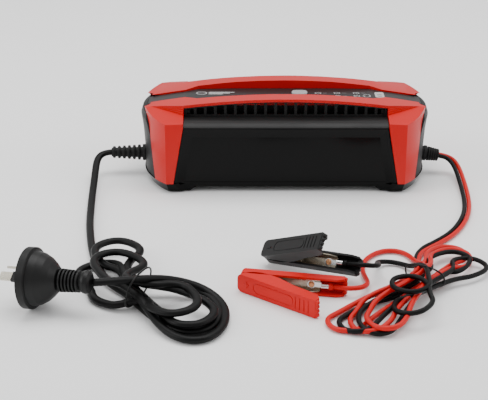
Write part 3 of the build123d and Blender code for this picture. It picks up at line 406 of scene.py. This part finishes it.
def plastic(name, dark, light, rough, scale=900.0, depth=0.15, wander=0.06, coat=0.0, metal=0.0, shine=0.25):
    """A Principled material with the grain group; its colour wanders between two tones."""
    made = bpy.data.materials.new(name)
    made.use_nodes = True
    tree = made.node_tree
    shader = tree.nodes["Principled BSDF"]
    grain = tree.nodes.new("ShaderNodeGroup")
    grain.node_tree = grain_group
    grain.inputs["Scale"].default_value = scale
    grain.inputs["Depth"].default_value = depth
    grain.inputs["Roughness"].default_value = rough
    grain.inputs["Wander"].default_value = wander
    tone = tree.nodes.new("ShaderNodeMix")
    tone.data_type = "RGBA"
    tone.inputs["A"].default_value = (*dark, 1)
    tone.inputs["B"].default_value = (*light, 1)
    tree.links.new(grain.outputs["Mottle"], tone.inputs["Factor"])
    tree.links.new(tone.outputs["Result"], shader.inputs["Base Color"])
    tree.links.new(grain.outputs["Roughness"], shader.inputs["Roughness"])
    tree.links.new(grain.outputs["Normal"], shader.inputs["Normal"])
    shader.inputs["Metallic"].default_value = metal
    shader.inputs["Specular IOR Level"].default_value = 0.5 if metal else shine
    shader.inputs["Coat Weight"].default_value = coat
    shader.inputs["Coat Roughness"].default_value = 0.12
    materials[name] = made
    return made


def grey(value):
    return (value, value, value)


plastic("shell_red", (0.50, 0.0012, 0.0006), (0.56, 0.0018, 0.0010), 0.34, 700, 0.03, 0.03)
plastic("case_black", grey(0.0045), grey(0.0075), 0.50, 1400, 0.30, 0.05)
plastic("panel_black", grey(0.0006), grey(0.0010), 0.12, 600, 0.01, 0.02, shine=0.12)
plastic("label_print", grey(0.012), grey(0.015), 0.36, 1600, 0.08, 0.04)
plastic("button_grey", grey(0.30), grey(0.34), 0.42, 1200, 0.12)
plastic("rubber_black", grey(0.004), grey(0.007), 0.55, 1500, 0.25)
plastic("screw_steel", (0.45, 0.45, 0.44), (0.6, 0.6, 0.58), 0.32, 1800, 0.2, metal=1.0)
plastic("board_green", (0.01, 0.10, 0.035), (0.015, 0.14, 0.05), 0.35, 1200, 0.1)
plastic("post_black", grey(0.02), grey(0.03), 0.5)
plastic("core_grey", grey(0.05), grey(0.08), 0.6, 900, 0.4)
plastic("winding_copper", (0.50, 0.18, 0.06), (0.62, 0.26, 0.10), 0.3, 2500, 0.5, metal=1.0)
plastic("winding_tape", (0.62, 0.42, 0.03), (0.72, 0.52, 0.05), 0.4)
plastic("can_black", (0.012, 0.016, 0.05), (0.018, 0.022, 0.07), 0.3)
plastic("heat_sink_alu", grey(0.55), grey(0.68), 0.35, 1500, 0.2, metal=1.0)
plastic("led_clear", grey(0.75), grey(0.85), 0.15, 900, 0.02)
plastic("cord_black", grey(0.0014), grey(0.0026), 0.46, 1600, 0.12, 0.05, shine=0.15)
plastic("cord_red", (0.50, 0.0016, 0.0010), (0.58, 0.0026, 0.0016), 0.42, 1600, 0.10, 0.04)
plastic("plug_black", grey(0.0032), grey(0.0055), 0.44, 1500, 0.2, 0.05)
plastic("tie_black", grey(0.002), grey(0.004), 0.42)
plastic("clamp_red", (0.52, 0.0018, 0.0010), (0.60, 0.0028, 0.0016), 0.42, 1100, 0.08, 0.04)
plastic("clamp_black", grey(0.0050), grey(0.0085), 0.40, 1100, 0.14, 0.05, coat=0.05)
plastic("jaw_steel", (0.30, 0.25, 0.18), (0.55, 0.50, 0.42), 0.26, 300, 0.15, 0.10, metal=1.0)
plastic("spring_steel", grey(0.5), grey(0.62), 0.22, 1600, 0.1, metal=1.0)
plastic("blade_metal", (0.62, 0.58, 0.48), (0.72, 0.68, 0.58), 0.22, 800, 0.08, metal=1.0)
plastic("rivet_copper", (0.60, 0.26, 0.12), (0.72, 0.36, 0.18), 0.28, 1500, 0.1, metal=1.0)
plastic("terminal_tin", grey(0.68), grey(0.78), 0.2, 1500, 0.1, metal=1.0)
plastic("print_white", grey(0.62), grey(0.68), 0.4)
plastic("print_grey", grey(0.20), grey(0.24), 0.4)
plastic("print_red", (0.55, 0.02, 0.015), (0.62, 0.03, 0.02), 0.4)
plastic("badge_light", (0.40, 0.38, 0.38), (0.48, 0.46, 0.45), 0.38)

glass = bpy.data.materials.new("fuse_glass")
glass.use_nodes = True
glass_shader = glass.node_tree.nodes["Principled BSDF"]
glass_shader.inputs["Transmission Weight"].default_value = 1.0
glass_shader.inputs["Roughness"].default_value = 0.05
materials["fuse_glass"] = glass
print("materials:", len(materials))

# %% Paint the CAD parts
def paint(piece, name):
    piece.data.materials.clear()
    piece.data.materials.append(materials[name])
    return piece


slot_of = {s["node"]: s["material_slot"] for s in frame["record"]["subparts"]}
for part_name, part in nodes.items():
    paint(part, slot_of[part_name])
print("painted", len(slot_of), "parts")

# %% [markdown]
# Real mouldings have small radii on every edge, and those are what catch the light. The CAD
# parts keep sharp edges, so the visible mouldings are shown by copies: merged, cleaned of
# flat seams, and given a fine bevel. Smooth shading stops at the edges that remain sharp.
# The two gloss panels keep their CAD mesh, with sharp edges.

# %% Rounded copies of the mouldings
def eased(part_name, width, body="charger", segments=2, angle=24):
    """A copy of a CAD part with its sharp edges rounded."""
    mesh = nodes[part_name].data.copy()
    piece = bpy.data.objects.new(part_name + "_eased", mesh)
    bpy.context.collection.objects.link(piece)
    bm = bmesh.new()
    bm.from_mesh(mesh)
    bmesh.ops.remove_doubles(bm, verts=bm.verts, dist=0.000004)
    bmesh.ops.dissolve_degenerate(bm, edges=bm.edges, dist=0.000004)
    bmesh.ops.dissolve_limit(
        bm, angle_limit=math.radians(1.2), verts=bm.verts, edges=bm.edges, delimit={"NORMAL"}
    )
    bm.to_mesh(mesh)
    bm.free()
    imported = mesh.attributes.get("custom_normal")
    if imported:
        mesh.attributes.remove(imported)
    mesh.polygons.foreach_set("use_smooth", [True] * len(mesh.polygons))
    mesh.set_sharp_from_angle(angle=math.radians(22))
    bevel = piece.modifiers.new("edges", "BEVEL")
    bevel.width = width * MM
    bevel.segments = segments
    bevel.limit_method = "ANGLE"
    bevel.angle_limit = math.radians(angle)
    bevel.use_clamp_overlap = True
    bevel.harden_normals = True
    bpy.context.view_layer.update()
    baked = bpy.data.meshes.new_from_object(piece.evaluated_get(bpy.context.evaluated_depsgraph_get()))
    piece.modifiers.clear()
    piece.data = baked
    paint(piece, slot_of[part_name])
    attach(piece, body)
    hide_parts(part_name)
    return piece


for moulding, radius in (
    ("front_shell", 0.6), ("rear_shell", 0.6), ("left_end_cap", 0.5), ("right_end_cap", 0.5),
    ("select_button", 0.3),
):
    body = "select_button" if moulding == "select_button" else "charger"
    made = eased(moulding, radius, body)
    print(moulding, len(made.data.polygons), "faces")
for polarity in ("positive", "negative"):
    eased(polarity + "_fixed_cover", 0.35)
    eased(polarity + "_lever_cover", 0.35, polarity + "_lever")
    eased(polarity + "_fixed_jaw", 0.12, segments=1)
    eased(polarity + "_lever_jaw", 0.12, polarity + "_lever", segments=1)

# %% [markdown]
# The wire ties are bent by hand from plastic-coated wire. Each is one closed loop round its
# bundle, drawn as a round tube along a rounded loop of points.

# %% Wire ties
TIE_RADIUS = 0.65 * MM


def wire_tie(name, centre, heading, width, height, lean, replaced):
    """A loop of coated wire round a bundle, leaning a little, on the charger's body."""
    across = Vector((-math.sin(heading), math.cos(heading), 0))
    along = Vector((math.cos(heading), math.sin(heading), 0))
    points = []
    for i in range(48):
        turn = 2 * math.pi * i / 48
        flat = abs(math.cos(turn)) ** 0.8 * math.copysign(1, math.cos(turn))
        tall = abs(math.sin(turn)) ** 0.8 * math.copysign(1, math.sin(turn))
        middle = Vector(centre) * MM
        points.append(
            middle + across * flat * width / 2 * MM
            + Vector((0, 0, tall * height / 2 * MM)) + along * tall * lean * MM
        )
    angles = [turn_part * math.pi / 4 for turn_part in range(8)]
    wire = [(TIE_RADIUS * math.cos(a), TIE_RADIUS * math.sin(a)) for a in angles]
    loop = tube_along(name, points, wire, up=along, closed=True)
    paint(loop, "tie_black")
    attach(loop, "charger")
    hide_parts(replaced)
    return loop


mains_tie = wire_tie(
    "mains_wire_tie", (-106, -256.5, 13.2), math.radians(-24), 34, 24.6, 3.0, "mains_hank_tie"
)
wire_tie("lead_wire_tie", (92, -229, 8.9), 0.98, 30, 16.0, -2.0, "battery_lead_tie")
print("ties ready")

# %% [markdown]
# The label is a printed sheet under the rails. Its marks are inks of a few thousandths of a
# millimetre on the real thing. Here each is a thin patch that follows the sheet, so it can be
# painted by itself. A loop makes the marks that repeat.

# %% Printed marks on the label
LABEL_LEVEL = 69.5


def label_height(x):
    """Top of the sheet, in millimetres: flat between the rails, then down along the arch."""
    return LABEL_LEVEL if abs(x) < 84.8 else 75.1 - x * x / 1280


def ink(name, colour, outline, hole=None):
    """A patch of ink with the given outline, or a line of ink between two outlines."""
    lift = 0.06
    verts = [Vector((x, y, label_height(x) + lift)) * MM for x, y in outline]
    if hole:
        verts += [Vector((x, y, label_height(x) + lift)) * MM for x, y in hole]
        count = len(outline)
        faces = [(i, (i + 1) % count, count + (i + 1) % count, count + i) for i in range(count)]
    else:
        faces = [tuple(range(len(outline)))]
    patch = new_piece(name, verts, faces, smooth=False)
    if patch.data.polygons[0].normal.z < 0:
        patch.data.flip_normals()
    paint(patch, colour)
    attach(patch, "charger")
    return patch


def rounded(x, y, width, depth, corner, steps=5):
    points = []
    for q, (sx, sy) in enumerate(((1, 1), (-1, 1), (-1, -1), (1, -1))):
        cx, cy = x + sx * (width / 2 - corner), y + sy * (depth / 2 - corner)
        for i in range(steps + 1):
            angle = math.radians(90 * q + 90 * i / steps)
            points.append((cx + corner * math.cos(angle), cy + corner * math.sin(angle)))
    return points


LAMPS = [(28.7, 5.0), (44.9, 5.0), (61.1, 5.0), (44.9, -3.5), (61.1, -3.5)]
for number, (x, y) in enumerate(LAMPS):
    outer, inner = rounded(x, y, 5.4, 3.6, 1.7), rounded(x, y, 4.6, 2.8, 1.35)
    ink(f"lamp_ring_{number}", "print_white", outer, inner)
    ink(f"lamp_bar_{number}", "print_grey", rounded(x + 6.0, y, 3.6, 0.7, 0.3))
ink("meter_loop", "print_white", rounded(69.7, -2.8, 5.6, 7.4, 2.4), rounded(69.7, -2.8, 4.8, 6.6, 2.0))
ink("badge", "badge_light", rounded(80.6, 0, 7.6, 15, 2.2))
ink("badge_plus_across", "print_red", rounded(80.6, 0, 4.6, 1.3, 0.2))
ink("badge_minus_lower", "print_red", rounded(80.6, -4.2, 3.6, 1.1, 0.2))
ink("emblem_ring", "print_white", rounded(-70.5, 5, 9, 7, 3.4), rounded(-70.5, 5, 7.8, 5.8, 2.85))
for number, width in enumerate((22, 18, 12)):
    middle = -64.5 + width / 2
    ink(f"emblem_bar_{number}", "print_white", rounded(middle, 7.4 - 2.4 * number, width, 1.1, 0.4))

# %% [markdown]
# A clamp's torsion spring is hard-drawn wire wound round the hinge pin, with one leg pushing
# on each side. A short node tree winds the coil: a spiral, thickened by a round profile. The
# two legs are not drawn here.

# %% Wire springs
def spring_tree():
    """A node tree that winds a spring: turns, radius, height and wire are its inputs."""
    tree = bpy.data.node_groups.new("wire_spring", "GeometryNodeTree")
    tree.interface.new_socket("Geometry", in_out="INPUT", socket_type="NodeSocketGeometry")
    for label, value in (("Turns", 4.5), ("Radius", 2.3 * MM), ("Height", 4.0 * MM), ("Wire", 0.4 * MM)):
        tree.interface.new_socket(label, in_out="INPUT", socket_type="NodeSocketFloat").default_value = value
    tree.interface.new_socket("Material", in_out="INPUT", socket_type="NodeSocketMaterial")
    tree.interface.new_socket("Geometry", in_out="OUTPUT", socket_type="NodeSocketGeometry")
    start, end = tree.nodes.new("NodeGroupInput"), tree.nodes.new("NodeGroupOutput")
    spiral = tree.nodes.new("GeometryNodeCurveSpiral")
    spiral.inputs["Resolution"].default_value = 28
    circle = tree.nodes.new("GeometryNodeCurvePrimitiveCircle")
    circle.inputs["Resolution"].default_value = 10
    skin = tree.nodes.new("GeometryNodeCurveToMesh")
    skin.inputs["Fill Caps"].default_value = True
    real = tree.nodes.new("GeometryNodeRealizeInstances")
    coat = tree.nodes.new("GeometryNodeSetMaterial")
    wire = tree.links.new
    wire(start.outputs["Turns"], spiral.inputs["Rotations"])
    wire(start.outputs["Radius"], spiral.inputs["Start Radius"])
    wire(start.outputs["Radius"], spiral.inputs["End Radius"])
    wire(start.outputs["Height"], spiral.inputs["Height"])
    wire(start.outputs["Wire"], circle.inputs["Radius"])
    wire(spiral.outputs["Curve"], skin.inputs["Curve"])
    wire(circle.outputs["Curve"], skin.inputs["Profile Curve"])
    wire(skin.outputs["Mesh"], real.inputs["Geometry"])
    wire(real.outputs["Geometry"], coat.inputs["Geometry"])
    wire(start.outputs["Material"], coat.inputs["Material"])
    wire(coat.outputs["Geometry"], end.inputs["Geometry"])
    return tree


def centre_of(part_name):
    corners = [Vector(c) for c in nodes[part_name].bound_box]
    return sum(corners, Vector()) / 8


SPRING_TREE = spring_tree()
for joint in frame["record"]["behaviour"]["joints"]:
    if joint["type"] != "hinge":
        continue
    polarity = joint["name"].split("_")[0]
    axis = Vector(joint["axis"]).normalized()
    name = polarity + "_wire_spring"
    piece = bpy.data.objects.new(name, bpy.data.meshes.new(name))
    bpy.context.collection.objects.link(piece)
    winder = piece.modifiers.new("winder", "NODES")
    winder.node_group = SPRING_TREE
    for item in SPRING_TREE.interface.items_tree:
        if item.name == "Material":
            winder[item.identifier] = materials["spring_steel"]
        elif item.name in ("Turns", "Radius", "Height", "Wire"):
            winder[item.identifier] = item.default_value
    bpy.context.view_layer.update()
    coil = bpy.data.meshes.new_from_object(piece.evaluated_get(bpy.context.evaluated_depsgraph_get()))
    piece.modifiers.clear()
    middle = centre_of(polarity + "_pivot_pin")
    turn = axis.to_track_quat("Z", "Y").to_matrix().to_4x4()
    coil.transform(Matrix.Translation(middle) @ turn @ Matrix.Translation((0, 0, -2.0 * MM)))
    piece.data = coil
    coil.polygons.foreach_set("use_smooth", [True] * len(coil.polygons))
    paint(piece, "spring_steel")
    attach(piece, "charger")
    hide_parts(polarity + "_spring")
    print(name, len(coil.polygons), "faces")

# %% Sleeves on the crimped ends
def sleeve(name, part_name, colour, towards):
    """A soft sleeve over the end of a crimped barrel, where the lead goes in."""
    tip = towards
    start = tip + (centre_of(part_name) - tip) * 0.35
    ring = [(2.7 * MM * math.cos(a * math.pi / 8), 2.7 * MM * math.sin(a * math.pi / 8)) for a in range(16)]
    piece = tube_along(name, [start, (start + tip) / 2, tip], ring)
    paint(piece, colour)
    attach(piece, "charger")
    return piece


red_sleeve = sleeve("positive_sleeve", "positive_terminal", "cord_red", metres(RED_SINGLE)[-1])
black_sleeve = sleeve("negative_sleeve", "negative_terminal", "cord_black", metres(BLACK_SINGLE)[-1])

paint(mains_cord, "cord_black")
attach(mains_cord, "charger")
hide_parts("mains_cord", "mains_hank")
for lead, colour, start, length, polarity in (
    (red_lead, "cord_red", RED_OUT[0], RED_LENGTH, "positive"),
    (black_lead, "cord_black", BLACK_OUT[0], BLACK_LENGTH, "negative"),
):
    lead.data.materials.append(materials[colour])
    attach(lead, "charger")
    word = "red" if polarity == "positive" else "black"
    own = ["battery_lead_hank"] if polarity == "positive" else []
    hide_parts(word + "_lead", word + "_lead_to_clamp", *own)

# %% [markdown]
# The picture is lit like a catalogue page: white all round, one broad softbox above, and a
# softer one on each side, which draw long highlights on the gloss panel.

# %% Floor, world and lights
floor = new_piece("floor", [(-6, -6, 0), (6, -6, 0), (6, 6, 0), (-6, 6, 0)], [(0, 1, 2, 3)], smooth=False)
floor.location.z = -0.0004
floor_paint = bpy.data.materials.new("floor_white")
floor_paint.use_nodes = True
floor_paint.node_tree.nodes["Principled BSDF"].inputs["Base Color"].default_value = (0.92, 0.92, 0.92, 1)
floor_paint.node_tree.nodes["Principled BSDF"].inputs["Roughness"].default_value = 0.9
floor.data.materials.append(floor_paint)

world = bpy.data.worlds.new("studio")
world.use_nodes = True
world.node_tree.nodes["Background"].inputs["Color"].default_value = (1, 1, 1, 1)
world.node_tree.nodes["Background"].inputs["Strength"].default_value = 0.8
bpy.context.scene.world = world


def softbox(name, place, target, width, height, power):
    data = bpy.data.lights.new(name, "AREA")
    data.shape = "RECTANGLE"
    data.size, data.size_y = width, height
    data.energy = power
    lamp = bpy.data.objects.new(name, data)
    lamp.location = place
    lamp.rotation_euler = (Vector(target) - Vector(place)).to_track_quat("-Z", "Y").to_euler()
    bpy.context.collection.objects.link(lamp)


softbox("top_box", (0.0, 0.25, 1.6), (0, -0.05, 0), 1.6, 1.2, 26)
softbox("left_box", (-1.4, -0.5, 0.8), (0, 0, 0.03), 0.8, 1.0, 10)
softbox("right_box", (1.5, -0.3, 0.9), (0, 0, 0.03), 0.8, 1.0, 7)
print("studio ready")

# %% Finish
import json
